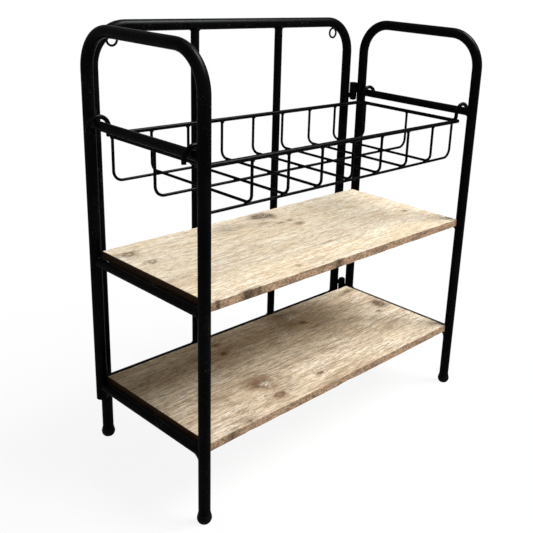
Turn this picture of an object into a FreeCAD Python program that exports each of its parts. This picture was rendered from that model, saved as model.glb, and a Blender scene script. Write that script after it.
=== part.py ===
import FreeCAD, Part
import math
import os

# A folding rack: a back frame on two feet, two side frames hinged to it on upright pins,
# two wooden boards lying on steel tabs, and a wire basket hooked over two bars.
# Millimetres. X runs across the rack, Y to the back, Z up. The origin is on the floor,
# under the middle of the rack.

# Overall layout, tube centre line to tube centre line
frame_spacing = 548.0
leg_spacing = 238.0
frame_height = 613.0
bar_drop = 121.2
upper_rail_drop = 193.5
lower_rail_height = 103.9
back_rail_height = 95.6
back_inset = 20.6
back_setback = 21.9
upright_spacing = 168.0
stile_end_drop = 21.5

# Tubes
main_dia = 16.0
main_wall = 1.2
main_bend = 52.0
cross_dia = 12.7
cross_wall = 1.0

# Rubber feet
foot_dia = 19.6
foot_height = 13.4
foot_sole = 4.0
foot_base_dia = 14.0
foot_collar_dia = 17.4
foot_bulge_height = 5.6
foot_lip_height = 11.6

# Curved gusset where a lower rail meets the front leg
gusset_reach = 15.0
gusset_drop = 11.0
gusset_thick = 6.0
gusset_belly = 3.2

# Wooden boards
board_end_gap = 1.7
board_side_gap = 1.0
board_thick = 12.0
board_edge = 0.9
upper_board_rise = 12.5
lower_board_rise = 10.0

# Flat steel tabs that carry the boards
tab_thick = 3.0
tab_width = 100.0
tab_bearing = 15.0
tab_corner = 5.0
tab_spacing = 106.0

# Pin hinges
sleeve_dia = 13.4
sleeve_length = 18.6
pin_dia = 8.0
pin_length = 17.0
pin_tip = 0.8
collar_dia = 12.6
collar_length = 12.4
collar_dome = 4.0
hinge_arm_dia = 6.5
hinge_arm_offset = 4.2
upper_hinge_drop = 2.8
lower_hinge_rise = 11.4

# Hanging rings
ring_dia = 19.0
ring_wire = 3.2
ring_place = 34.4
ring_setback = 5.0
ring_bite = 0.5

# Wire basket
rim_wire = 6.0
basket_wire = 4.0
hook_span = 31.0
hook_offset = 1.5
hook_end_drop = 20.0
hook_spacing = 200.0
hook_corner = 7.0
hook_root = 2.0
hook_gap = 1.8
rim_drop = 14.8
rim_overhang = 0.5
basket_depth = 61.5
long_corner = 14.0
cross_corner = 10.8
long_spacing = 93.0
cross_spacing = 62.8
cross_count = 7

# Clearances
weld_gap = 0.05
play = 0.3
pin_play = 0.1
overrun = 20.0

# Places worked out from the sizes above
side_x = frame_spacing / 2
front_y = -(leg_spacing + back_setback) / 2
stile_y = front_y + leg_spacing
back_y = stile_y + back_setback
mid_y = (front_y + stile_y) / 2
post_x = side_x - back_inset
main_r = main_dia / 2
cross_r = cross_dia / 2
rim_r = rim_wire / 2
wire_r = basket_wire / 2
bar_height = frame_height - bar_drop
upper_rail_height = bar_height - upper_rail_drop
stile_end_height = lower_rail_height - stile_end_drop
board_length = frame_spacing - main_dia - 2 * board_end_gap
board_depth = leg_spacing - 2 * board_side_gap
rail_heights = {"upper": upper_rail_height, "lower": lower_rail_height}
board_rises = {"upper": upper_board_rise, "lower": lower_board_rise}
hinge_splits = {"upper": bar_height - upper_hinge_drop, "lower": lower_rail_height + lower_hinge_rise}
side_signs = {"left": -1, "right": 1}
up = FreeCAD.Vector(0, 0, 1)


def at(x, y, z):
    return FreeCAD.Vector(x, y, z)


def bent_path(points, bends):
    """Straight runs between the points, rounded at each inner point by the bend of that corner."""
    edges = []
    start = points[0]
    for corner, bend, following in zip(points[1:-1], bends, points[2:]):
        arriving = (corner - start).normalize()
        leaving = (following - corner).normalize()
        half_turn = arriving.getAngle(leaving) / 2
        setback = bend * math.tan(half_turn)
        bisector = (leaving - arriving).normalize()
        arc_start = corner - arriving * setback
        arc_end = corner + leaving * setback
        arc_middle = corner + bisector * (bend / math.cos(half_turn) - bend)
        if (arc_start - start).Length > weld_gap:
            edges.append(Part.makeLine(start, arc_start))
        edges.append(Part.Arc(arc_start, arc_middle, arc_end).toShape())
        start = arc_end
    if (points[-1] - start).Length > weld_gap:
        edges.append(Part.makeLine(start, points[-1]))
    return edges


def section(edge, dia, bore):
    """Round section, with a bore if it has one, across the start of a run."""
    place = edge.valueAt(edge.FirstParameter)
    direction = edge.tangentAt(edge.FirstParameter)
    disc = Part.Face(Part.Wire(Part.makeCircle(dia / 2, place, direction)))
    if bore > 0:
        disc = disc.cut(Part.Face(Part.Wire(Part.makeCircle(bore / 2, place, direction)))).Faces[0]
    return disc


def swept(path, dia, bore):
    """Runs and bends of one bar: each run is drawn straight and each bend turned about its centre."""
    pieces = []
    for edge in path:
        disc = section(edge, dia, bore)
        if hasattr(edge.Curve, "Radius"):
            turn = math.degrees(edge.LastParameter - edge.FirstParameter)
            pieces.append(disc.revolve(edge.Curve.Center, edge.Curve.Axis, turn))
        else:
            run = edge.valueAt(edge.LastParameter) - edge.valueAt(edge.FirstParameter)
            pieces.append(disc.extrude(run))
    return pieces[0].multiFuse(pieces[1:]) if len(pieces) > 1 else pieces[0]


def rod(path, dia):
    """Round bar along a path."""
    return swept(path, dia, 0)


def tube(path, dia, wall):
    """Round tube along a path, open at both ends."""
    return swept(path, dia, dia - 2 * wall)


def straight_tube(start, end, dia, wall):
    return tube([Part.makeLine(start, end)], dia, wall)


def column(x, y, low, high, radius):
    """Upright solid cylinder."""
    return Part.makeCylinder(radius, high - low, at(x, y, low), up)


def revolved(edges, x, y):
    """Solid turned about the upright axis through x, y."""
    face = Part.Face(Part.Wire(edges))
    return face.revolve(at(0, 0, 0), up, 360).translated(at(x, y, 0))


def largest(shape):
    """The main piece that is left after its ends are cut away."""
    return max(shape.Solids, key=lambda piece: piece.Volume)


def save(shape, name):
    solid = shape.removeSplitter()
    solid.exportStep("parts/" + name + ".step")


def side_hoop(x):
    """Front leg, top rail and rear stile bent from one tube."""
    points = [
        at(x, front_y, foot_sole),
        at(x, front_y, frame_height),
        at(x, stile_y, frame_height),
        at(x, stile_y, stile_end_height),
    ]
    return tube(bent_path(points, [main_bend, main_bend]), main_dia, main_wall)


def leg_clearances(x):
    """The room that the front leg and the rear stile take, for the ends that are shaped to them."""
    radius = main_r + weld_gap
    front = column(x, front_y, 0, frame_height, radius)
    rear = column(x, stile_y, 0, frame_height, radius)
    return front.fuse(rear)


def cross_tube(x, height):
    """Tube between the front leg and the rear stile, its ends shaped to them."""
    bar = straight_tube(at(x, front_y, height), at(x, stile_y, height), cross_dia, cross_wall)
    return largest(bar.cut(leg_clearances(x)))


def rail_room(x, height, gap):
    """The room that a cross tube takes."""
    return Part.makeCylinder(cross_r + gap, leg_spacing, at(x, front_y, height), at(0, 1, 0))


def gusset(x, height):
    """Curved web that fills the corner under a lower rail at the front leg."""
    under = height - cross_r
    leg_face = front_y + main_r
    low_point = at(x, leg_face, under - gusset_drop)
    far_point = at(x, leg_face + gusset_reach, under)
    middle = (low_point + far_point) / 2 + at(0, -gusset_belly, gusset_belly)
    edges = [
        Part.makeLine(at(x, front_y, height), at(x, front_y, low_point.z)),
        Part.makeLine(at(x, front_y, low_point.z), low_point),
        Part.Arc(low_point, middle, far_point).toShape(),
        Part.makeLine(far_point, at(x, far_point.y, height)),
        Part.makeLine(at(x, far_point.y, height), at(x, front_y, height)),
    ]
    web = Part.Face(Part.Wire(edges)).extrude(at(gusset_thick, 0, 0))
    web.translate(at(-gusset_thick / 2, 0, 0))
    return web.cut(leg_clearances(x)).cut(rail_room(x, height, 0))


def lower_rail(x):
    return cross_tube(x, lower_rail_height).fuse(gusset(x, lower_rail_height))


def board_underside(level):
    return rail_heights[level] + board_rises[level] - board_thick


def shelf_tab(side, level, row):
    """Flat steel tab on the inner side of a rail, under the end of a board."""
    sign = side_signs[side]
    top = board_underside(level) - play
    inner_x = board_length / 2 - tab_bearing
    reach = side_x - inner_x
    middle_y = mid_y + row * tab_spacing / 2
    near_corner = at(inner_x, middle_y - tab_width / 2, top - tab_thick)
    plate = Part.makeBox(reach, tab_width, tab_thick, near_corner)
    end_edges = [edge for edge in plate.Edges if edge.BoundBox.XMax < inner_x + weld_gap]
    corners = [edge for edge in end_edges if edge.BoundBox.YLength < weld_gap]
    plate = plate.makeFillet(tab_corner, corners)
    plate = largest(plate.cut(rail_room(side_x, rail_heights[level], weld_gap)))
    if sign < 0:
        plate = plate.mirror(at(0, 0, 0), at(1, 0, 0))
    return plate


def foot(x, y):
    """Rubber cap with a bulged wall and a bore for the leg."""
    base_r = foot_base_dia / 2
    bore_r = main_r + weld_gap
    collar_r = foot_collar_dia / 2
    bulge = at(foot_dia / 2, 0, foot_bulge_height)
    edges = [
        Part.makeLine(at(0, 0, 0), at(base_r, 0, 0)),
        Part.Arc(at(base_r, 0, 0), bulge, at(collar_r, 0, foot_lip_height)).toShape(),
        Part.makeLine(at(collar_r, 0, foot_lip_height), at(collar_r, 0, foot_height)),
        Part.makeLine(at(collar_r, 0, foot_height), at(bore_r, 0, foot_height)),
        Part.makeLine(at(bore_r, 0, foot_height), at(bore_r, 0, foot_sole - weld_gap)),
        Part.makeLine(at(bore_r, 0, foot_sole - weld_gap), at(0, 0, foot_sole - weld_gap)),
        Part.makeLine(at(0, 0, foot_sole - weld_gap), at(0, 0, 0)),
    ]
    return revolved(edges, x, y)


def hinge_axis(sign):
    """Upright hinge line between the rear stile and the back post, the sleeve lying on the stile."""
    stile = at(sign * side_x, stile_y, 0)
    post = at(sign * post_x, back_y, 0)
    away = (post - stile).normalize()
    return stile + away * (main_r + sleeve_dia / 2 + weld_gap)


def hinge_sleeve(sign, split, points_up):
    """Short sleeve welded to the rear stile; the pin enters from the split between the halves."""
    centre = hinge_axis(sign)
    gap = play / 2
    low = split + gap if points_up else split - gap - sleeve_length
    outer = column(centre.x, centre.y, low, low + sleeve_length, sleeve_dia / 2)
    bore = column(centre.x, centre.y, low - overrun, low + sleeve_length + overrun, pin_dia / 2 + pin_play)
    return outer.cut(bore)


def hinge_pin(sign, split, points_up):
    """Domed collar with the pin on it, carried by a short arm from the back post."""
    centre = hinge_axis(sign)
    post = at(sign * post_x, back_y, 0)
    low = split - collar_length
    collar = column(centre.x, centre.y, low, split - play / 2, collar_dia / 2)
    far_rim = [edge for edge in collar.Edges if edge.BoundBox.ZMax < low + weld_gap]
    collar = collar.makeFillet(collar_dome, far_rim)
    shaft = column(centre.x, centre.y, low + collar_dome, split + pin_length, pin_dia / 2)
    tip_rim = [edge for edge in shaft.Edges if edge.BoundBox.ZMin > split + pin_length - weld_gap]
    shaft = shaft.makeChamfer(pin_tip, tip_rim)
    reach = post - centre
    arm_foot = at(centre.x, centre.y, split - hinge_arm_offset)
    arm = Part.makeCylinder(hinge_arm_dia / 2, reach.Length, arm_foot, reach)
    arm = arm.cut(column(post.x, post.y, 0, frame_height, main_r + weld_gap))
    pin = collar.multiFuse([shaft, arm])
    if not points_up:
        pin = pin.mirror(at(0, 0, split), up)
    return pin


def back_hoop():
    """Both back posts and the top rail bent from one tube."""
    points = [
        at(-post_x, back_y, foot_sole),
        at(-post_x, back_y, frame_height),
        at(post_x, back_y, frame_height),
        at(post_x, back_y, foot_sole),
    ]
    return tube(bent_path(points, [main_bend, main_bend]), main_dia, main_wall)


def back_rail():
    """Rail between the back posts at the foot of the two uprights."""
    left_end = at(-post_x, back_y, back_rail_height)
    right_end = at(post_x, back_y, back_rail_height)
    radius = main_r + weld_gap
    left_post = column(-post_x, back_y, 0, frame_height, radius)
    right_post = column(post_x, back_y, 0, frame_height, radius)
    rail = straight_tube(left_end, right_end, cross_dia, cross_wall)
    return largest(rail.cut(left_post.fuse(right_post)))


def back_upright(sign):
    """Thinner upright between the top rail and the back rail."""
    x = sign * upright_spacing / 2
    along = at(1, 0, 0)
    low = at(-side_x, back_y, back_rail_height)
    high = at(-side_x, back_y, frame_height)
    low_room = Part.makeCylinder(cross_r + weld_gap, frame_spacing, low, along)
    top_room = Part.makeCylinder(main_r + weld_gap, frame_spacing, high, along)
    bar = straight_tube(at(x, back_y, low.z), at(x, back_y, high.z), cross_dia, cross_wall)
    return largest(bar.cut(top_room.fuse(low_room)))


def hanging_ring(sign):
    """Wire ring welded under the bend of the back frame, towards its rear."""
    bend_centre = at(sign * (post_x - main_bend), back_y, frame_height - main_bend)
    ring_x = post_x - ring_place
    sideways = ring_x - (post_x - main_bend)
    inner_r = main_bend - math.sqrt(main_r * main_r - ring_setback * ring_setback)
    under = bend_centre.z + math.sqrt(inner_r * inner_r - sideways * sideways)
    centre = at(sign * ring_x, back_y + ring_setback, under - ring_dia / 2 + ring_bite)
    ring = Part.makeTorus((ring_dia - ring_wire) / 2, ring_wire / 2, centre, at(0, 1, 0))
    arc = Part.makeTorus(main_bend, main_r + weld_gap, bend_centre, at(0, 1, 0))
    return largest(ring.cut(arc))


def shelf_board(level):
    """Wooden board with eased edges."""
    near_corner = at(-board_length / 2, mid_y - board_depth / 2, board_underside(level))
    box = Part.makeBox(board_length, board_depth, board_thick, near_corner)
    return box.makeFillet(board_edge, box.Edges)


# Basket heights and places
crown_top = bar_height + cross_r + hook_gap + rim_r
rim_height = bar_height - rim_drop
hook_x = side_x - hook_offset
rim_end_x = hook_x - hook_span / 2
hook_foot = rim_height + hook_corner + hook_root
hook_y = hook_spacing / 2
rim_seat = hook_corner + rim_wire + weld_gap
rim_y = hook_y - hook_corner + math.sqrt(rim_seat * rim_seat - hook_corner * hook_corner)
long_height = rim_height - basket_depth
cross_height = long_height + basket_wire + weld_gap


def basket_end(sign):
    """Short side of the rim, bent up at both corners to carry the hooks."""
    x = sign * rim_end_x
    points = [
        at(x, mid_y - hook_y, hook_foot),
        at(x, mid_y - hook_y, rim_height),
        at(x, mid_y + hook_y, rim_height),
        at(x, mid_y + hook_y, hook_foot),
    ]
    return rod(bent_path(points, [hook_corner, hook_corner]), rim_wire)


def basket_hook(sign, row):
    """Hook that goes on from a corner of the rim, over the bar and down outside it."""
    inner_x = sign * rim_end_x
    outer_x = sign * (hook_x + hook_span / 2)
    y = mid_y + row * hook_y
    points = [
        at(inner_x, y, hook_foot + weld_gap),
        at(inner_x, y, crown_top),
        at(outer_x, y, crown_top),
        at(outer_x, y, crown_top - hook_end_drop),
    ]
    return rod(bent_path(points, [hook_span / 2, hook_span / 2]), rim_wire)


def basket_rim(row):
    """Long side of the rim, lying against the corners of both ends."""
    y = mid_y + row * rim_y
    reach = rim_end_x + rim_overhang
    return rod([Part.makeLine(at(-reach, y, rim_height), at(reach, y, rim_height))], rim_wire)


def rim_room(middle, along):
    """The room that a side of the rim takes, for the wire ends that are shaped to it."""
    start = middle - along * frame_spacing
    return Part.makeCylinder(rim_r + weld_gap, 2 * frame_spacing, start, along)


def hung_wire(points, bend, along):
    """Wire bent up at both ends, each end shaped to the underside of the rim."""
    wire = rod(bent_path(points, [bend, bend]), basket_wire)
    ends = rim_room(points[0], along).fuse(rim_room(points[-1], along))
    return largest(wire.cut(ends))


def basket_long_wire(row):
    """Wire down from one end of the rim, along the bottom and up to the other end."""
    y = mid_y + row * long_spacing
    points = [
        at(-rim_end_x, y, rim_height),
        at(-rim_end_x, y, long_height),
        at(rim_end_x, y, long_height),
        at(rim_end_x, y, rim_height),
    ]
    return hung_wire(points, long_corner, at(0, 1, 0))


def basket_cross_wire(x):
    """Wire down from the front rim, over the long wires and up to the rear rim."""
    points = [
        at(x, mid_y - rim_y, rim_height),
        at(x, mid_y - rim_y, cross_height),
        at(x, mid_y + rim_y, cross_height),
        at(x, mid_y + rim_y, rim_height),
    ]
    return hung_wire(points, cross_corner, at(1, 0, 0))


os.makedirs("parts", exist_ok=True)

for side, sign in side_signs.items():
    x = sign * side_x
    save(side_hoop(x), side + "_side_hoop")
    save(cross_tube(x, bar_height), side + "_basket_bar")
    save(cross_tube(x, upper_rail_height), side + "_upper_rail")
    save(lower_rail(x), side + "_lower_rail")
    save(foot(x, front_y), side + "_front_foot")
    save(foot(sign * post_x, back_y), side + "_back_foot")
    save(back_upright(sign), side + "_back_upright")
    save(hanging_ring(sign), side + "_hanging_ring")
    save(basket_end(sign), side + "_basket_end")
    save(basket_hook(sign, -1), side + "_front_hook")
    save(basket_hook(sign, 1), side + "_rear_hook")
    for level, split in hinge_splits.items():
        points_up = level == "upper"
        save(hinge_sleeve(sign, split, points_up), side + "_" + level + "_hinge_sleeve")
        save(hinge_pin(sign, split, points_up), side + "_" + level + "_hinge_pin")
        for place, row in (("front", -1), ("rear", 1)):
            save(shelf_tab(side, level, row), side + "_" + level + "_tab_" + place)

save(back_hoop(), "back_hoop")
save(back_rail(), "back_rail")
for level in rail_heights:
    save(shelf_board(level), level + "_board")
for place, row in (("front", -1), ("rear", 1)):
    save(basket_rim(row), "basket_rim_" + place)
for place, row in (("front", -1), ("middle", 0), ("rear", 1)):
    save(basket_long_wire(row), "basket_long_wire_" + place)
for index in range(cross_count):
    x = (index - (cross_count - 1) / 2) * cross_spacing
    save(basket_cross_wire(x), "basket_cross_wire_" + str(index + 1))
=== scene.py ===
import math
from collections import namedtuple
from itertools import product

import bpy
import numpy as np
from mathutils import Matrix, Vector, noise


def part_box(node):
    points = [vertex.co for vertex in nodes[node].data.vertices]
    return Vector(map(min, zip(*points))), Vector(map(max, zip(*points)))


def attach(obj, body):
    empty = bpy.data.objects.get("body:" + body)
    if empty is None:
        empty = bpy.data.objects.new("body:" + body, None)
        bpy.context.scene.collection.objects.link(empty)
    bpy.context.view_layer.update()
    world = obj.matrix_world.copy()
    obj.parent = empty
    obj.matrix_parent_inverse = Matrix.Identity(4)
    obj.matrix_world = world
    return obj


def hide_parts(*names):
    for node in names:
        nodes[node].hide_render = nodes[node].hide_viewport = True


# Metres, in the part's own frame: X across the rack, Y to the back, Z up from the floor.

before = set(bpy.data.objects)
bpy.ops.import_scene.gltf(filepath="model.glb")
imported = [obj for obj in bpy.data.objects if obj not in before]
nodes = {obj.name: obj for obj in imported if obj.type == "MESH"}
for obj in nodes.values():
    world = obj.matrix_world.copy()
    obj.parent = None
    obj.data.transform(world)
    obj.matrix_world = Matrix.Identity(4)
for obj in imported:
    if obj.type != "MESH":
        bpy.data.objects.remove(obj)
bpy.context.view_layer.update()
scene = bpy.context.scene

# The rack's own places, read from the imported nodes
hoop_low, hoop_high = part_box("right_side_hoop")
post_low, post_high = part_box("back_hoop")
bar_low, bar_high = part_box("right_basket_bar")
MAIN_R = (hoop_high.x - hoop_low.x) / 2     # thick tube
THIN_R = (bar_high.x - bar_low.x) / 2       # thin tube
SIDE_X = (hoop_high.x + hoop_low.x) / 2     # middle of a side frame
FRONT_Y = hoop_low.y + MAIN_R               # middle of a front leg
STILE_Y = hoop_high.y - MAIN_R              # middle of a rear stile
TOP_Z = hoop_high.z - MAIN_R                # middle of the top rails
POST_X = post_high.x - MAIN_R               # middle of a back post
BACK_Y = (post_low.y + post_high.y) / 2     # middle of the back frame

RIGHT, BACK, UP = Vector((1, 0, 0)), Vector((0, 1, 0)), Vector((0, 0, 1))
SIDES = (("left", -1), ("right", 1))


def middle(node):
    low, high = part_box(node)
    return (low + high) / 2


# ---------------------------------------------------------------- node helpers


class Graph:
    """The node tree of a material or a world, with short calls for the nodes used here."""

    # Numbers of the sockets that a Mix node uses for colours
    FACTOR, FIRST, SECOND, MIXED = 0, 6, 7, 2

    def __init__(self, owner, output):
        owner.use_nodes = True
        self.tree = owner.node_tree
        self.tree.nodes.clear()
        self.out = self.add(output)

    def add(self, kind):
        return self.tree.nodes.new(kind)

    def link(self, a, b):
        self.tree.links.new(a, b)

    def put(self, value, socket):
        if isinstance(value, bpy.types.NodeSocket):
            self.link(value, socket)
        else:
            socket.default_value = value

    def show(self, shader):
        self.link(shader, self.out.inputs["Surface"])

    def position(self):
        return self.add("ShaderNodeTexCoord").outputs["Object"]

    def attribute(self, name, kind="Fac"):
        node = self.add("ShaderNodeAttribute")
        node.attribute_name = name
        return node.outputs[kind]

    def scaled(self, vector, scale, shift=(0, 0, 0)):
        node = self.add("ShaderNodeMapping")
        self.link(vector, node.inputs["Vector"])
        node.inputs["Scale"].default_value = scale
        node.inputs["Location"].default_value = shift
        return node.outputs["Vector"]

    def length(self, vector):
        node = self.add("ShaderNodeVectorMath")
        node.operation = "LENGTH"
        self.link(vector, node.inputs[0])
        return node.outputs["Value"]

    def noise(self, vector, scale, detail, rough=0.55, distort=0.0):
        """Noise with this many cells per metre."""
        node = self.add("ShaderNodeTexNoise")
        self.link(vector, node.inputs["Vector"])
        node.inputs["Scale"].default_value = scale
        node.inputs["Detail"].default_value = detail
        node.inputs["Roughness"].default_value = rough
        node.inputs["Distortion"].default_value = distort
        return node.outputs["Fac"]

    def grained(self, vector, scale, detail, rough=0.55, distort=0.0, shift=(0, 0, 0)):
        """Stretched noise: its cells per metre differ from direction to direction."""
        return self.noise(self.scaled(vector, scale, shift), 1.0, detail, rough, distort)

    def spread(self, value, low, high, to_low=0.0, to_high=1.0):
        """Smooth step from one value to another while the input goes from low to high."""
        node = self.add("ShaderNodeMapRange")
        node.interpolation_type = "SMOOTHSTEP"
        self.link(value, node.inputs["Value"])
        node.inputs["From Min"].default_value = low
        node.inputs["From Max"].default_value = high
        node.inputs["To Min"].default_value = to_low
        node.inputs["To Max"].default_value = to_high
        return node.outputs["Result"]

    def math(self, operation, a, b=0.0):
        node = self.add("ShaderNodeMath")
        node.operation = operation
        self.put(a, node.inputs[0])
        self.put(b, node.inputs[1])
        return node.outputs["Value"]

    def times(self, a, b):
        return self.math("MULTIPLY", a, b)

    def mix(self, factor, a, b):
        node = self.add("ShaderNodeMix")
        node.data_type = "RGBA"
        self.put(factor, node.inputs[self.FACTOR])
        self.put(a, node.inputs[self.FIRST])
        self.put(b, node.inputs[self.SECOND])
        return node.outputs[self.MIXED]

    def tint(self, colour, target, mask, share):
        """The colour, drawn by that share to the target where the mask is 1."""
        return self.mix(self.times(mask, share), colour, target)

    def bump(self, height, strength, depth, before=None):
        node = self.add("ShaderNodeBump")
        node.inputs["Strength"].default_value = strength
        node.inputs["Distance"].default_value = depth
        self.link(height, node.inputs["Height"])
        if before is not None:
            self.link(before, node.inputs["Normal"])
        return node.outputs["Normal"]

    def seen(self):
        """1 where the camera, a mirror or a glass looks, 0 where light is gathered."""
        ray = self.add("ShaderNodeLightPath")
        shown = ray.outputs["Is Camera Ray"]
        for kind in ("Is Glossy Ray", "Is Transmission Ray"):
            shown = self.math("MAXIMUM", shown, ray.outputs[kind])
        return shown

    def blend(self, factor, first, second):
        node = self.add("ShaderNodeMixShader")
        for value, socket in zip((factor, first, second), node.inputs):
            self.link(value, socket)
        return node.outputs["Shader"]


class Surface(Graph):
    """A material with one Principled shader."""

    def __init__(self, name):
        self.material = bpy.data.materials.new(name)
        super().__init__(self.material, "ShaderNodeOutputMaterial")
        self.shader = self.add("ShaderNodeBsdfPrincipled")
        self.show(self.shader.outputs["BSDF"])

    def dress(self, values):
        """Links what varies to the shader and sets the rest on the shader's own sockets."""
        for socket, value in values.items():
            self.put(value, self.shader.inputs[socket])


def rgb(r, g, b):
    """A colour as seen on a screen, 0 to 255, made linear."""
    def one(c):
        c = c / 255
        return c / 12.92 if c <= 0.04045 else ((c + 0.055) / 1.055) ** 2.4
    return (one(r), one(g), one(b), 1.0)


# ------------------------------------------------------------------- materials

PAINT_DEEP, PAINT_CLOUDY = rgb(2, 2, 2), rgb(6, 6, 7)
PAINT_DULL, PAINT_RUBBED = rgb(12, 12, 13), rgb(72, 66, 58)
PAINT_SPECULAR, PAINT_GLOSS = 0.002, 0.035      # low, as the white studio would grey the black
RUBBER_CLEAN, RUBBER_DUSTY = rgb(3, 3, 3), rgb(9, 9, 9)

STAIN, CRACK, SCRATCH = rgb(96, 72, 50), rgb(74, 58, 44), rgb(246, 240, 226)
KNOT_HALO, KNOT_DARK = rgb(138, 103, 72), rgb(84, 60, 43)
EDGE_TAN, EDGE_BROWN, EDGE_DARK = rgb(182, 154, 126), rgb(126, 100, 78), rgb(64, 49, 36)
# End grain: its own darker grain, painted darker still with the shade that falls on the end faces
END_GRAIN_AND_SHADE_DARK, END_GRAIN_AND_SHADE_BROWN = rgb(54, 37, 25), rgb(88, 63, 43)
WORN_CORNER = rgb(96, 76, 57)

# Colours of a board's face, from the bleached wash to the heart of its knots
Tone = namedtuple("Tone", "pale cream straw tan brown grey heart")
UPPER_TONE = Tone(
    pale=rgb(248, 243, 230), cream=rgb(240, 228, 204), straw=rgb(232, 216, 186),
    tan=rgb(204, 177, 142), brown=rgb(148, 119, 90), grey=rgb(196, 179, 155),
    heart=rgb(216, 196, 168))
# Lower board: its own greyer fir, with painted shade from the upper board above darkening the whole
# palette
LOWER_TONE_WITH_SHADE = Tone(
    pale=rgb(242, 235, 221), cream=rgb(227, 211, 185), straw=rgb(212, 193, 165),
    tan=rgb(166, 142, 114), brown=rgb(108, 88, 69), grey=rgb(144, 128, 110),
    heart=rgb(150, 122, 94))


def black_paint(name, rough, peel):
    """Satin black paint on steel: slightly cloudy, with orange peel and small rubbed spots."""
    g = Surface(name)
    place = g.position()
    cloud = g.noise(place, scale=18.0, detail=3.0)
    fine = g.noise(place, scale=240.0, detail=5.0)
    specks = g.noise(place, scale=520.0, detail=3.0)
    where = g.noise(g.scaled(place, (1, 1, 1), (3.1, 1.7, 5.3)), scale=30.0, detail=3.0)
    rubbed = g.times(g.spread(specks, 0.60, 0.68), g.spread(where, 0.50, 0.64))
    colour = g.mix(g.spread(cloud, 0.35, 0.68), PAINT_DEEP, PAINT_CLOUDY)
    colour = g.tint(colour, PAINT_DULL, g.spread(fine, 0.5, 0.72), share=0.45)
    colour = g.tint(colour, PAINT_RUBBED, rubbed, share=0.5)
    satin = g.spread(fine, 0.3, 0.75, rough - 0.06, rough + 0.1)
    skin = g.bump(g.noise(place, scale=peel, detail=2.0), strength=0.07, depth=0.0004)
    runs = g.noise(place, scale=110.0, detail=2.0)
    waves = g.bump(runs, strength=0.08, depth=0.0015, before=skin)
    g.dress({
        "Base Color": colour,
        "Roughness": g.math("ADD", satin, g.times(rubbed, 0.12)),
        "Specular IOR Level": PAINT_SPECULAR,
        "Coat Weight": PAINT_GLOSS,
        "Coat Roughness": rough + 0.02,
        "Normal": waves,
        "Coat Normal": waves,
    })
    return g.material


def rubber():
    """Moulded rubber with a little floor dust."""
    g = Surface("rubber_foot")
    place = g.position()
    dust = g.noise(place, scale=160.0, detail=5.0)
    pores = g.noise(place, scale=700.0, detail=3.0)
    g.dress({
        "Base Color": g.mix(g.spread(dust, 0.45, 0.75), RUBBER_CLEAN, RUBBER_DUSTY),
        "Roughness": g.spread(dust, 0.3, 0.8, 0.55, 0.85),
        "Specular IOR Level": 0.04,
        "Normal": g.bump(pores, strength=0.3, depth=0.0004),
    })
    return g.material


def wood_face(g, grain, tone):
    """Broad face of a bleached board: bands, streaks, blotches, fibres and wash on the ridges.

    Gives the colour, and the line, fibre and mottle that the relief shares with it.
    """
    band = g.grained(grain, (2.4, 20, 20), 3.0, 0.5, 0.3)
    streak = g.grained(grain, (11, 70, 70), 6.0, 0.7, 0.7, shift=(1, 4, 2))
    line = g.grained(grain, (24, 300, 300), 4.0, 0.65, 0.3)
    fibre = g.grained(grain, (85, 600, 600), 3.0, 0.7, 0.2)
    blotch = g.grained(grain, (16, 32, 32), 6.0, 0.7, 0.8, shift=(4, 2, 1))
    mottle = g.grained(grain, (110, 200, 200), 6.0, 0.75, 0.6, shift=(2, 7, 3))
    wash = g.grained(grain, (26, 420, 420), 4.0, 0.65, shift=(7, 3, 9))
    where = g.grained(grain, (9, 16, 16), 3.0, shift=(1, 8, 3))
    brushed = g.times(g.spread(wash, 0.54, 0.59), g.spread(where, 0.36, 0.56))
    colour = g.mix(g.spread(band, 0.38, 0.62), tone.cream, tone.straw)
    colour = g.tint(colour, tone.tan, g.spread(streak, 0.48, 0.64), share=0.5)
    colour = g.tint(colour, tone.grey, g.spread(blotch, 0.50, 0.66), share=0.36)
    colour = g.tint(colour, tone.tan, g.spread(line, 0.52, 0.57), share=0.58)
    colour = g.tint(colour, tone.brown, g.spread(mottle, 0.54, 0.68), share=0.5)
    colour = g.tint(colour, tone.pale, brushed, share=0.9)
    colour = g.tint(colour, tone.brown, g.spread(fibre, 0.52, 0.58), share=0.52)
    return colour, line, fibre, mottle


def thin_marks(g, grain, scale, width):
    """Short curling lines, as scratches and hair cracks are, solid over a third of the width."""
    field = g.grained(grain, scale, 2.0, 0.5, 0.6, shift=(3, 3, 3))
    off = g.math("ABSOLUTE", g.math("SUBTRACT", field, 0.5))
    return g.spread(off, width * 0.35, width, 1.0, 0.0)


def wood_edge(g, place, patchy):
    """Sawn long edge: brownish tan with speckled dark patches and the stains of the mesh."""
    speckle = g.grained(place, (300, 300, 440), 4.0, 0.7)
    patch = g.grained(place, (26, 26, 80), 5.0, 0.68, shift=(2, 2, 2))
    side = g.mix(g.spread(speckle, 0.38, 0.62), EDGE_TAN, EDGE_BROWN)
    dark = g.times(g.spread(patch, 0.46, 0.58), g.spread(speckle, 0.30, 0.55, 0.4, 1.0))
    stained = g.times(g.attribute("stain"), g.spread(speckle, 0.30, 0.50, 0.55, 0.95))
    return g.mix(g.math("MAXIMUM", g.times(dark, patchy), stained), side, EDGE_DARK)


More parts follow.
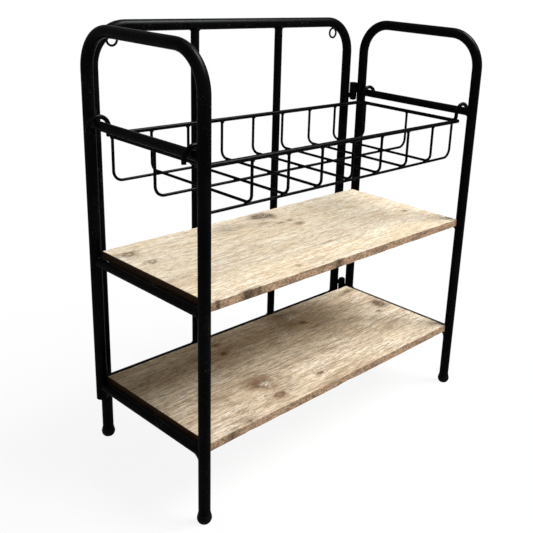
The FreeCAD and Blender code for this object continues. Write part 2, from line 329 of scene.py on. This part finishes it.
def fir(name, tone, patchy):
    """Bleached sawn fir. The grain, knots, marks, sides and wear ride on the mesh."""
    g = Surface(name)
    place = g.position()
    grain = g.attribute("grain", "Vector")
    colour, line, fibre, mottle = wood_face(g, grain, tone)

    # Stains, then knots: a brown halo, a ragged dark ring and a paler heart
    stained = g.times(g.attribute("stain"), g.spread(mottle, 0.34, 0.56, 0.5, 1.0))
    colour = g.mix(stained, colour, STAIN)
    ragged = g.grained(grain, (150, 270, 270), 4.0, 0.65, shift=(1, 1, 5))
    knot = g.math("ADD", g.attribute("knot"), g.spread(ragged, 0.22, 0.78, -0.6, 0.6))
    colour = g.mix(g.spread(knot, 0.8, 2.9, 0.62, 0.0), colour, KNOT_HALO)
    colour = g.mix(g.spread(knot, 0.6, 1.3, 0.9, 0.0), colour, KNOT_DARK)
    colour = g.mix(g.spread(knot, 0.25, 0.8, 0.85, 0.0), colour, tone.heart)

    # White scratches and dark hair cracks
    scratches = thin_marks(g, grain, (110, 230, 230), width=0.075)
    colour = g.tint(colour, SCRATCH, scratches, g.attribute("scuff"))
    cracks = thin_marks(g, grain, (70, 260, 260), width=0.04)
    colour = g.tint(colour, CRACK, cracks, g.attribute("crack"))

    # Sawn long edges, end grain painted dark (its own darker grain with painted shade of the end
    # faces), rubbed corners
    colour = g.mix(g.attribute("edge"), colour, wood_edge(g, place, patchy))
    rings = g.grained(place, (40, 190, 900), 4.0, 0.6, 0.8)
    sawn_end_and_shade = g.mix(g.spread(rings, 0.35, 0.7), END_GRAIN_AND_SHADE_DARK, END_GRAIN_AND_SHADE_BROWN)
    colour = g.mix(g.attribute("end"), colour, sawn_end_and_shade)
    colour = g.tint(colour, WORN_CORNER, g.attribute("wear"), share=0.45)

    threads = g.math("ADD", g.times(fibre, 0.4), line)
    rough = g.bump(threads, strength=0.5, depth=0.0008)
    g.dress({
        "Base Color": colour,
        "Roughness": g.spread(line, 0.3, 0.75, 0.66, 0.86),
        "Specular IOR Level": 0.1,
        "Normal": g.bump(mottle, strength=0.25, depth=0.0008, before=rough),
    })
    return g.material


tube_coat = black_paint("black_tube", rough=0.28, peel=1500.0)
wire_coat = black_paint("black_wire", rough=0.26, peel=1900.0)
foot_rubber = rubber()
upper_fir = fir("fir_upper", UPPER_TONE, patchy=0.5)
# painted shade: the lower board's colours are darkened for the shade under the upper board
lower_fir_with_shade = fir("fir_lower_with_shade", LOWER_TONE_WITH_SHADE, patchy=0.45)


def coat_for(name):
    if name.endswith("_board"):
        return upper_fir
    if name.endswith("_foot"):
        return foot_rubber
    if name.startswith("basket_") or name.endswith(("_basket_end", "_hook")):
        return wire_coat
    return tube_coat


for name, node in nodes.items():
    node.data.materials.clear()
    node.data.materials.append(coat_for(name))
    node.data.polygons.foreach_set("material_index", [0] * len(node.data.polygons))


# ----------------------------------------------------------------- mesh helpers


def new_piece(name, verts, faces, material, body):
    mesh = bpy.data.meshes.new(name)
    mesh.from_pydata([tuple(v) for v in verts], [], faces)
    mesh.validate()
    mesh.polygons.foreach_set("use_smooth", [True] * len(mesh.polygons))
    mesh.materials.append(material)
    piece = bpy.data.objects.new(name, mesh)
    scene.collection.objects.link(piece)
    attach(piece, body)
    return piece


class Beads:
    """Weld beads of one body, gathered into one mesh."""

    AROUND = 8                          # points round a bead
    GRAIN, UNEVEN = 260, 0.22           # lumps per metre of a bead, and their share of its radius
    POOL_TURN = 1.9                     # how far the ripple turns from ring to ring
    TIP, TIP_GROWTH = 0.35, 0.33        # thickness of an open bead's tip, and its growth per ring
    LEAST_STEPS, STEPS = 28, 9000       # rings of a saddle: the fewest, and per metre of its radius
    LIFT, WIDEN = 0.3, 0.15             # a saddle's place in the corner, in bead radii
    SADDLE_RIPPLE = 0.16
    ROWS, TURNS = 5, 9                  # rings of a blob, and the points of each
    LUMPY = 0.16                        # share of a blob's radius that its lumps take
    UNLIKE_X, UNLIKE_Y = 90, 70         # change of the lumps per metre, from blob to blob

    def __init__(self, seed):
        self.verts = []
        self.faces = []
        self.seed = seed

    def sweep(self, path, closed, radius, ripple):
        """Round bead along a path, its thickness rippling as a run of weld pools does."""
        count = len(path)
        first = len(self.verts)
        for i, p in enumerate(path):
            before = path[i - 1] if closed or i > 0 else path[0]
            after = path[(i + 1) % count] if closed or i < count - 1 else path[-1]
            along = (after - before).normalized()
            if i == 0:
                side = along.orthogonal().normalized()
            else:
                side = (side - along * side.dot(along)).normalized()
            other = along.cross(side)
            spot = (p.x * self.GRAIN + self.seed, p.y * self.GRAIN, p.z * self.GRAIN)
            lump = self.UNEVEN * noise.noise(Vector(spot))
            thick = radius * (1 + ripple * math.sin(i * self.POOL_TURN + self.seed) + lump)
            if not closed:
                from_end = min(i, count - 1 - i)
                thick = thick * min(1.0, self.TIP + self.TIP_GROWTH * from_end)
            for k in range(self.AROUND):
                turn = math.tau * k / self.AROUND
                out = side * math.cos(turn) + other * math.sin(turn)
                self.verts.append(p + out * thick)
        for i in range(count if closed else count - 1):
            a = first + i * self.AROUND
            b = first + ((i + 1) % count) * self.AROUND
            for k in range(self.AROUND):
                n = (k + 1) % self.AROUND
                self.faces.append((a + k, a + n, b + n, b + k))
        if not closed:
            last = first + (count - 1) * self.AROUND
            self.faces.append(tuple(first + k for k in reversed(range(self.AROUND))))
            self.faces.append(tuple(last + k for k in range(self.AROUND)))

    def saddle(self, centre, main_axis, main_radius, away, radius, bead):
        """Bead where a tube or wire of one radius runs away from a thicker one."""
        across = away.cross(main_axis)
        lift, widen = bead * self.LIFT, bead * self.WIDEN
        steps = max(self.LEAST_STEPS, int(radius * self.STEPS))
        path = []
        for i in range(steps):
            turn = math.tau * i / steps
            off = radius * math.cos(turn)
            reach = math.sqrt(max(main_radius * main_radius - off * off, 0.0))
            out = across * math.cos(turn) + main_axis * math.sin(turn)
            path.append(centre + away * (reach + lift) + out * (radius + widen))
        self.sweep(path, closed=True, radius=bead, ripple=self.SADDLE_RIPPLE)

    def blob(self, centre, sizes):
        """Small squeezed lump, as a spot weld leaves between two wires."""
        first = len(self.verts)
        self.verts.append(centre + Vector((0, 0, -sizes[2])))
        unlike = centre.x * self.UNLIKE_X + centre.y * self.UNLIKE_Y
        for r in range(1, self.ROWS):
            lift = -math.cos(math.pi * r / self.ROWS)
            wide = math.sin(math.pi * r / self.ROWS)
            for t in range(self.TURNS):
                turn = math.tau * t / self.TURNS
                bulge = noise.noise(Vector((turn + self.seed, lift * 2, unlike)))
                lump = 1 + self.LUMPY * bulge
                x = sizes[0] * wide * math.cos(turn) * lump
                y = sizes[1] * wide * math.sin(turn) * lump
                self.verts.append(centre + Vector((x, y, sizes[2] * lift)))
        self.verts.append(centre + Vector((0, 0, sizes[2])))
        last = len(self.verts) - 1
        for t in range(self.TURNS):
            n = (t + 1) % self.TURNS
            self.faces.append((first, first + 1 + n, first + 1 + t))
            for r in range(self.ROWS - 2):
                a = first + 1 + r * self.TURNS
                self.faces.append((a + t, a + n, a + self.TURNS + n, a + self.TURNS + t))
            a = first + 1 + (self.ROWS - 2) * self.TURNS
            self.faces.append((a + t, a + n, last))

    def finish(self, name, material, body):
        new_piece(name, self.verts, self.faces, material, body)


# ------------------------------------------------------------------ weld beads

TUBE_BEAD, SLEEVE_BEAD, ARM_BEAD, WIRE_BEAD = 0.00125, 0.0013, 0.0010, 0.0008
GROOVE_GAP = 0.0008                     # from a sleeve and its stile to the middle of their bead
GROOVE_FROM, GROOVE_RUN = 0.06, 0.88    # where that bead starts on the sleeve, and its share
GROOVE_STEPS, GROOVE_RIPPLE = 16, 0.2
UPRIGHT_FIT = 0.985                     # an upright on a rail as thick as itself
ARM_R, ARM_OFFSET = 0.00325, 0.00435    # hinge arm, and its middle from the end of the sleeve
RING_BLOB = (0.0032, 0.0022, 0.0017)
RING_BLOB_OUT, RING_BLOB_DOWN = 0.0012, 0.0006
RIM_BLOB_LONG, RIM_BLOB_WIDE = 0.0026, 0.0019
RIM_BLOB_HIGH = (0.0014, 0.0026)        # from and to
RIM_BLOB_LEAN = (0.6, 1.0)              # from and to, in wire radii
RIM_BLOB_DOWN = 0.0003
CROSS_BLOB = (0.0022, 0.0022, 0.0011)
CORNER_BLOB = (0.0034, 0.0022, 0.0022)
CORNER_BLOB_IN, CORNER_BLOB_ALONG, CORNER_BLOB_UP = 0.0006, 0.0024, 0.0012


def weld_sleeve(beads, stile, low, high):
    """Upright beads in the two grooves between a hinge sleeve and its stile."""
    sleeve = (low + high) / 2
    gap = Vector((sleeve.x - stile.x, sleeve.y - stile.y, 0))
    from_stile = MAIN_R + GROOVE_GAP
    from_sleeve = (high.x - low.x) / 2 + GROOVE_GAP
    along = (from_stile ** 2 - from_sleeve ** 2 + gap.length ** 2) / (2 * gap.length)
    out = math.sqrt(from_stile ** 2 - along ** 2)
    direction = gap.normalized()
    for turn in (-1, 1):
        spot = stile + direction * along + UP.cross(direction) * out * turn
        shares = (GROOVE_FROM + GROOVE_RUN * i / GROOVE_STEPS for i in range(GROOVE_STEPS + 1))
        run = [Vector((spot.x, spot.y, low.z + (high.z - low.z) * share)) for share in shares]
        beads.sweep(run, closed=False, radius=SLEEVE_BEAD, ripple=GROOVE_RIPPLE)


for side, sign in SIDES:
    beads = Beads(seed=sign * 3.7)
    for rail in ("basket_bar", "upper_rail", "lower_rail"):
        # From its top, as the gusset of the lower rail hangs below it
        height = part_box(side + "_" + rail)[1].z - THIN_R
        for y, inward in ((FRONT_Y, BACK), (STILE_Y, -BACK)):
            joint = Vector((sign * SIDE_X, y, height))
            beads.saddle(joint, UP, MAIN_R, inward, THIN_R, TUBE_BEAD)
    stile = Vector((sign * SIDE_X, STILE_Y, 0))
    for level in ("upper", "lower"):
        low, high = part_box(side + "_" + level + "_hinge_sleeve")
        weld_sleeve(beads, stile, low, high)
    beads.finish(side + "_side_welds", tube_coat, side + "_side")

beads = Beads(seed=8.3)
rail_z = middle("back_rail").z
for side, sign in SIDES:
    post = Vector((sign * POST_X, BACK_Y, 0))
    beads.saddle(post + UP * rail_z, UP, MAIN_R, RIGHT * -sign, THIN_R, TUBE_BEAD)
    upright_x = middle(side + "_back_upright").x
    top = Vector((upright_x, BACK_Y, TOP_Z))
    foot = Vector((upright_x, BACK_Y, rail_z))
    beads.saddle(top, RIGHT, MAIN_R, -UP, THIN_R, TUBE_BEAD)
    beads.saddle(foot, RIGHT, THIN_R, UP, THIN_R * UPRIGHT_FIT, TUBE_BEAD)
    for level in ("upper", "lower"):
        low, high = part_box(side + "_" + level + "_hinge_sleeve")
        pin = (low + high) / 2
        arm_z = low.z - ARM_OFFSET if level == "upper" else high.z + ARM_OFFSET
        toward = Vector((pin.x - post.x, pin.y - post.y, 0)).normalized()
        beads.saddle(post + UP * arm_z, UP, MAIN_R, toward, ARM_R, ARM_BEAD)
    low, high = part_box(side + "_hanging_ring")
    ring = (low + high) / 2
    spot = Vector((ring.x + sign * RING_BLOB_OUT, ring.y, high.z - RING_BLOB_DOWN))
    beads.blob(spot, RING_BLOB)
beads.finish("back_frame_welds", tube_coat, "back_frame")

beads = Beads(seed=1.9)
rim_low, rim_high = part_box("basket_rim_front")
wire_low, wire_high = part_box("basket_cross_wire_1")
rim_r = (rim_high.z - rim_low.z) / 2
wire_r = (wire_high.x - wire_low.x) / 2
rim_z = middle("basket_rim_front").z
crossing_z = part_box("basket_long_wire_middle")[0].z + 2 * wire_r
rim_ys = [middle("basket_rim_" + place).y for place in ("front", "rear")]
long_ys = [middle("basket_long_wire_" + place).y for place in ("front", "middle", "rear")]
cross_wires = sum(name.startswith("basket_cross_wire_") for name in nodes)
dice = np.random.default_rng(seed=5)
for index in range(1, cross_wires + 1):
    x = middle("basket_cross_wire_%d" % index).x
    for y in rim_ys:
        beads.saddle(Vector((x, y, rim_z)), RIGHT, rim_r, -UP, wire_r, WIRE_BEAD)
        lean = dice.choice((-1, 1)) * dice.uniform(*RIM_BLOB_LEAN)
        sizes = (RIM_BLOB_LONG, RIM_BLOB_WIDE, dice.uniform(*RIM_BLOB_HIGH))
        beads.blob(Vector((x + lean * wire_r, y, rim_z - rim_r - RIM_BLOB_DOWN)), sizes)
    for y in long_ys:
        beads.blob(Vector((x, y, crossing_z)), CROSS_BLOB)
end_x = middle("right_basket_end").x
for side, sign in SIDES:
    for y in long_ys:
        beads.saddle(Vector((sign * end_x, y, rim_z)), BACK, rim_r, -UP, wire_r, WIRE_BEAD)
    for y, inward in zip(rim_ys, (1, -1)):
        corner = Vector((sign * (end_x - CORNER_BLOB_IN), y + inward * CORNER_BLOB_ALONG,
                         rim_z + CORNER_BLOB_UP))
        beads.blob(corner, CORNER_BLOB)
beads.finish("basket_welds", wire_coat, "basket")


# ---------------------------------------------------------------------- boards

# Grid of a board: places of its lines near an edge, and the steps between them elsewhere
NEAR_EDGE = [0.0, 0.0004, 0.0009, 0.0016, 0.0026, 0.0042]
STEP_ALONG, STEP_ACROSS, STEP_UP = 0.0026, 0.0042, 0.0018

# Rounding of the edges: at the ends, along the long edges with its drift, and in the chips
END_ROUND, LONG_ROUND, LONG_DRIFT = 0.0007, 0.0008, 0.00045
DRIFTS_PER_METRE, DRIFT_OCTAVES = 55.0, 4
DRIFT_FADE, DRIFT_BEAT, DRIFT_RANGE = 1.6, 0.37, 1.8    # per octave, of a second wave, in all
CHIPS = 9
CHIP_WIDTH, CHIP_DEPTH = (0.003, 0.012), (0.0005, 0.0019)     # from and to
ROUND_LIMITS = (0.0004, 0.0032)

NO_KNOT = 6.0                           # distance in knot radii where no knot is near
KNOT_REACH, KNOT_BREADTH, KNOT_PUSH = 2.6, 2.4, 0.9     # how far a knot bends the grain, in radii
KNOT_LOBES = ((3, 0.12, 90), (7, 0.07, 0))      # count, share of the radius, turn per metre
KNOT_HOLLOW = 0.00022

# Sawn relief of the broad sides, the long edges and the ends: cells of its noise per metre,
# then its mean depth and ripple
BROAD_CELLS, BROAD_RELIEF = (9, 170, 9), (0.00012, 0.00011)
LONG_CELLS, LONG_RELIEF = (260, 160, 3), (0.00016, 0.00015)
END_CELLS, END_RELIEF = (210, 420, 0), (0.00018, 0.00017)
END_LAYER = (0, 0, 1)                   # the ends are one layer of the noise

FACING, ASIDE, CORNER = 0.9, 0.85, 0.97     # shares of a normal: on a side, off it, on a corner
SIDE_BAND = 0.0006                      # over which a side's colour fades in
WEAR_FROM, WEAR_RANGE = 0.0011, 0.0012  # rounding that starts to look rubbed, and its range
ROUNDED = 0.0002                        # least rounding that counts as a corner
GRAIN_SHIFT = (0.37, 0.11, 0.0)         # moves the grain from one seed to the next


def stations(length, fine, coarse):
    """Places along one side of a board: close together near the edges, even between them."""
    inner = length - 2 * fine[-1]
    count = max(2, round(inner / coarse))
    low = [f - length / 2 for f in fine]
    between = [low[-1] + inner * i / count for i in range(1, count)]
    return low + between + [-v for v in reversed(low)]


def block(half):
    """Points and faces of a closed block about the origin, with its lines at the stations."""
    xs = stations(2 * half.x, NEAR_EDGE, STEP_ALONG)
    ys = stations(2 * half.y, NEAR_EDGE, STEP_ACROSS)
    zs = stations(2 * half.z, NEAR_EDGE[:-1], STEP_UP)
    verts = []
    index = {}
    faces = []

    def vert(i, j, k):
        key = (i, j, k)
        if key not in index:
            index[key] = len(verts)
            verts.append((xs[i], ys[j], zs[k]))
        return index[key]

    def face(i, j, k, u, v):
        """Square from one corner, one step along u, then along v, and back."""
        faces.append((vert(i, j, k), vert(i + u[0], j + u[1], k + u[2]),
                      vert(i + u[0] + v[0], j + u[1] + v[1], k + u[2] + v[2]),
                      vert(i + v[0], j + v[1], k + v[2])))

    along, across, up = (1, 0, 0), (0, 1, 0), (0, 0, 1)
    end, rear, top = len(xs) - 1, len(ys) - 1, len(zs) - 1
    for i, j in product(range(end), range(rear)):
        face(i, j, top, along, across)
        face(i, j, 0, across, along)
    for i, k in product(range(end), range(top)):
        face(i, 0, k, along, up)
        face(i, rear, k, up, along)
    for j, k in product(range(rear), range(top)):
        face(0, j, k, up, across)
        face(end, j, k, across, up)
    return np.array(verts), faces


def drift(values, scale, channel, dice):
    """Smooth noise along one direction, about -1 to 1."""
    total = np.zeros_like(values)
    for octave in range(DRIFT_OCTAVES):
        step = scale * 2 ** octave
        shift = dice.uniform(0, math.tau, 2)
        wave = np.sin(values * step + shift[0] + channel)
        beat = np.cos(values * step * DRIFT_BEAT + shift[1])
        total += wave * beat / DRIFT_FADE ** octave
    return total / DRIFT_RANGE


def edge_rounding(flat, half, dice):
    """Rounding of the nearest edge at each point, different on each edge, with a few chips."""
    worn = np.full(len(flat), END_ROUND)
    for up, front in product((-1, 1), (-1, 1)):
        near = (np.sign(flat[:, 2]) == up) & (np.sign(flat[:, 1]) == front)
        line = LONG_ROUND + LONG_DRIFT * drift(flat[:, 0], DRIFTS_PER_METRE, up + 2 * front, dice)
        for _ in range(CHIPS):
            where = dice.uniform(-half.x, half.x)
            width = dice.uniform(*CHIP_WIDTH)
            depth = dice.uniform(*CHIP_DEPTH)
            line += depth * np.exp(-((flat[:, 0] - where) / width) ** 2)
        worn[near] = np.maximum(worn[near], line[near])
    return np.clip(worn, *ROUND_LIMITS)


def knotted(flat, knots):
    """Grain bent round the knots, distance from the nearest in its radii, and their hollows."""
    warped = flat.copy()
    ringed = np.full(len(flat), NO_KNOT)
    hollow = np.zeros(len(flat))
    for x, y, radius, stretch in knots:
        dx = (flat[:, 0] - x) / (radius * stretch)
        dy = (flat[:, 1] - y) / radius
        away = np.sqrt(dx * dx + dy * dy)
        turn = np.arctan2(dy, dx)
        wobble = 1 + sum(share * np.sin(count * turn + x * shift)
                         for count, share, shift in KNOT_LOBES)
        ringed = np.minimum(ringed, away * wobble)
        bend = np.exp(-(dx / KNOT_REACH) ** 2) * np.exp(-np.abs(dy) / KNOT_BREADTH)
        warped[:, 1] -= np.sign(dy) * radius * KNOT_PUSH * bend
        hollow += KNOT_HOLLOW * np.exp(-away ** 4)
    return warped, ringed, hollow


def patches(flat, places):
    """Soft patches, each with its place, half lengths and strength."""
    total = np.zeros(len(flat))
    for x, y, long, wide, strength in places:
        off = ((flat[:, 0] - x) / long) ** 2 + ((flat[:, 1] - y) / wide) ** 2
        total += strength * np.exp(-off)
    return np.clip(total, 0, 1)


def relief(places, seed, depth, ripple):
    """Depth of the sawn marks, from noise at the places."""
    marks = [noise.noise(Vector((x + seed, y, z))) for x, y, z in places]
    return depth + ripple * np.array(marks)


def sawn_board(node, material, seed, knots, stains, scuffs, cracks):
    """Sawn board inside its CAD solid: worn and chipped edges, grain relief and end checks.

    A knot is its place on the board, its radius and how far it is stretched along the grain.
    The other marks are their place, half length, half width and strength.
    """
    low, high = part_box(node)
    centre = (low + high) / 2
    half = (high - low) / 2
    flat, faces = block(half)
    shape = np.array(half)

    worn = edge_rounding(flat, half, np.random.default_rng(seed))
    inner = shape[None, :] - worn[:, None]
    core = np.clip(flat, -inner, inner)
    out = flat - core
    length = np.linalg.norm(out, axis=1)
    normal = out / np.maximum(length, 1e-9)[:, None]
    points = core + normal * worn[:, None]

    # Long shallow ridges on the broad sides, short marks on the long edges, checks at the ends
    warped, ringed, hollow = knotted(flat, knots)
    sunk = {
        2: relief(warped * BROAD_CELLS, seed, *BROAD_RELIEF) + hollow,
        1: relief(flat[:, (0, 2, 1)] * LONG_CELLS, seed, *LONG_RELIEF),
        0: relief(flat[:, (1, 2, 0)] * END_CELLS + END_LAYER, seed, *END_RELIEF),
    }
    for axis, depth in sunk.items():
        facing = np.abs(normal[:, axis]) > FACING
        points[facing] -= normal[facing] * depth[facing][:, None]

    board = new_piece(node + "_sawn", points + np.array(centre), faces, material, node)
    aside = np.abs(normal[:, 2]) < ASIDE
    to_side = np.clip((np.abs(flat) - shape + SIDE_BAND) / SIDE_BAND, 0, 1)
    rounded = (length > ROUNDED) & (np.abs(normal).max(axis=1) < CORNER)
    on_mesh = {
        "knot": ringed,
        "stain": patches(flat, stains),
        "scuff": patches(flat, scuffs),
        "crack": patches(flat, cracks),
        "end": to_side[:, 0] * aside,
        "edge": to_side[:, 1] * aside,
        "wear": np.clip((worn - WEAR_FROM) / WEAR_RANGE, 0, 1) * rounded,
    }
    attributes = board.data.attributes
    for name, values in on_mesh.items():
        data = attributes.new(name, "FLOAT", "POINT").data
        data.foreach_set("value", values.astype(np.float32))
    grain = (warped + seed * np.array(GRAIN_SHIFT)).astype(np.float32)
    attributes.new("grain", "FLOAT_VECTOR", "POINT").data.foreach_set("vector", grain.ravel())
    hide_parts(node)


sawn_board(
    "upper_board", upper_fir, seed=3,
    knots=[
        (-0.245, 0.084, 0.0058, 1.6), (-0.236, 0.041, 0.0044, 1.3), (0.040, 0.035, 0.0036, 1.7),
        (0.042, 0.056, 0.0022, 2.2), (0.232, -0.031, 0.0022, 1.6), (0.010, -0.056, 0.0011, 28),
        (0.016, 0.054, 0.0018, 3), (-0.092, -0.097, 0.0020, 2.0)],
    stains=[
        (0.013, 0.099, 0.019, 0.012, 1.6), (0.028, 0.093, 0.009, 0.011, 1.2),
        (-0.069, 0.083, 0.026, 0.014, 0.5), (-0.005, 0.069, 0.012, 0.006, 0.5),
        (0.016, 0.054, 0.010, 0.004, 0.4), (-0.054, -0.095, 0.018, 0.006, 0.3),
        (-0.203, -0.118, 0.011, 0.004, 1.3), (-0.252, -0.118, 0.005, 0.004, 1.0),
        (-0.184, -0.118, 0.006, 0.003, 0.9), (-0.032, -0.118, 0.009, 0.003, 1.0)],
    scuffs=[(0.022, 0.096, 0.012, 0.007, 0.45), (-0.236, 0.060, 0.03, 0.02, 0.25)],
    cracks=[
        (-0.060, 0.080, 0.030, 0.016, 0.4), (-0.240, 0.075, 0.020, 0.014, 0.6),
        (0.000, 0.062, 0.030, 0.010, 0.5)])
sawn_board(
    "lower_board", lower_fir_with_shade, seed=11,
    knots=[
        (-0.113, -0.050, 0.0098, 1.2), (-0.114, -0.090, 0.0056, 1.5),
        (-0.094, 0.060, 0.0046, 1.3), (0.081, 0.057, 0.0040, 1.5), (-0.084, 0.090, 0.0034, 1.3),
        (0.222, 0.000, 0.0022, 1.6), (-0.024, -0.085, 0.0030, 2.0)],
    stains=[
        (-0.114, -0.046, 0.019, 0.014, 0.9), (0.247, 0.022, 0.012, 0.015, 1.7),
        (0.244, 0.098, 0.022, 0.007, 1.1), (0.207, -0.050, 0.016, 0.010, 0.4),
        (-0.226, -0.118, 0.012, 0.004, 0.8), (0.067, 0.102, 0.034, 0.014, 0.8),
        (0.060, 0.070, 0.030, 0.020, 0.45), (-0.190, -0.110, 0.016, 0.008, 0.6),
        # The last patch, broad and soft, darkens the back left of the board
        (-0.089, -0.084, 0.020, 0.010, 0.4), (-0.15, 0.08, 0.12, 0.04, 0.35)],
    scuffs=[
        (-0.109, -0.055, 0.009, 0.008, 0.95), (0.081, 0.082, 0.012, 0.012, 0.9),
        (0.028, 0.047, 0.010, 0.010, 0.6), (-0.135, -0.076, 0.014, 0.010, 0.7)],
    cracks=[
        (-0.182, -0.089, 0.014, 0.010, 0.9), (-0.100, -0.070, 0.040, 0.020, 0.35),
        (-0.190, -0.110, 0.014, 0.008, 0.8)])


# ---------------------------------------------------- floor, light and camera

FLOOR_REACH = 14.0
FLOOR_GREY = (0.86, 0.86, 0.86, 1)
SHADOW_NEAR, SHADOW_FAR = 0.28, 0.85    # between them the floor goes over to plain white
WHITE_NEAR = 0.90                       # share of plain white under the rack
WHITE = (1, 1, 1, 1)
SOFT_LIGHT, PLAIN_WHITE = 0.11, 1.0     # the world as it lights, and as it is seen

corners = [(-1, -1), (1, -1), (1, 1), (-1, 1)]
floor_mesh = bpy.data.meshes.new("floor")
floor_mesh.from_pydata([(x * FLOOR_REACH, y * FLOOR_REACH, 0) for x, y in corners],
                       [], [(0, 1, 2, 3)])
floor = bpy.data.objects.new("floor", floor_mesh)
scene.collection.objects.link(floor)
g = Surface("floor_white")
g.dress({"Base Color": FLOOR_GREY, "Roughness": 0.9, "Specular IOR Level": 0.1})
glow = g.add("ShaderNodeEmission")
glow.inputs["Strength"].default_value = PLAIN_WHITE
plain = g.spread(g.length(g.position()), SHADOW_NEAR, SHADOW_FAR, WHITE_NEAR, 1.0)
share = g.times(g.seen(), plain)
g.show(g.blend(share, g.shader.outputs["BSDF"], glow.outputs["Emission"]))
floor_mesh.materials.append(g.material)

scene.view_settings.view_transform = "Standard"
scene.world = bpy.data.worlds.new("studio")
sky = Graph(scene.world, "ShaderNodeOutputWorld")


def sky_of(strength):
    node = sky.add("ShaderNodeBackground")
    node.inputs["Color"].default_value = WHITE
    node.inputs["Strength"].default_value = strength
    return node.outputs["Background"]


sky.show(sky.blend(sky.seen(), sky_of(SOFT_LIGHT), sky_of(PLAIN_WHITE)))


def lamp(name, place, target, size, power):
    data = bpy.data.lights.new(name, "AREA")
    data.shape = "DISK"
    data.size = size
    data.energy = power
    light = bpy.data.objects.new(name, data)
    light.location = place
    light.rotation_mode = "QUATERNION"
    light.rotation_quaternion = (Vector(target) - Vector(place)).to_track_quat("-Z", "Y")
    scene.collection.objects.link(light)
    return light


lamp("key", place=(2.12, -2.02, 3.84), target=(0, 0, 0.3), size=2.5, power=308)
lamp("fill", place=(-1.5, -0.9, 1.1), target=(0, 0, 0.35), size=1.4, power=1.5)
lamp("top", place=(0.1, 0.3, 2.1), target=(0, 0, 0.3), size=0.55, power=5)
# The bluish sheen on the rails and bends, as from a window high on the right, in gloss alone
sheen = lamp("sheen", place=(1.18, -0.40, 2.78), target=(0, 0, 0.6), size=1.3, power=300)
sheen.data.color = (0.88, 0.95, 1.0)
sheen.visible_diffuse = False

# The photograph is a crop off the lens axis, so the camera keeps that small shift
azimuth, elevation, roll = math.radians(-49.16), math.radians(18.59), math.radians(3.39)
level = math.cos(elevation)
forward = Vector((-math.sin(azimuth) * level, math.cos(azimuth) * level, -math.sin(elevation)))
right = forward.cross(UP).normalized()
over = right.cross(forward)
tilted_right = right * math.cos(roll) + over * math.sin(roll)
tilted_up = over * math.cos(roll) - right * math.sin(roll)
camera_data = bpy.data.cameras.new("camera")
camera_data.sensor_width = 36.0
camera_data.lens = 52.74
camera_data.shift_x = -0.1431
camera_data.shift_y = -0.0674
camera = bpy.data.objects.new("camera", camera_data)
scene.collection.objects.link(camera)
turned = Matrix((tilted_right, tilted_up, -forward)).transposed().to_4x4()
turned.translation = Vector((-0.81463, -0.80849, 0.70298))
camera.matrix_world = turned
scene.camera = camera
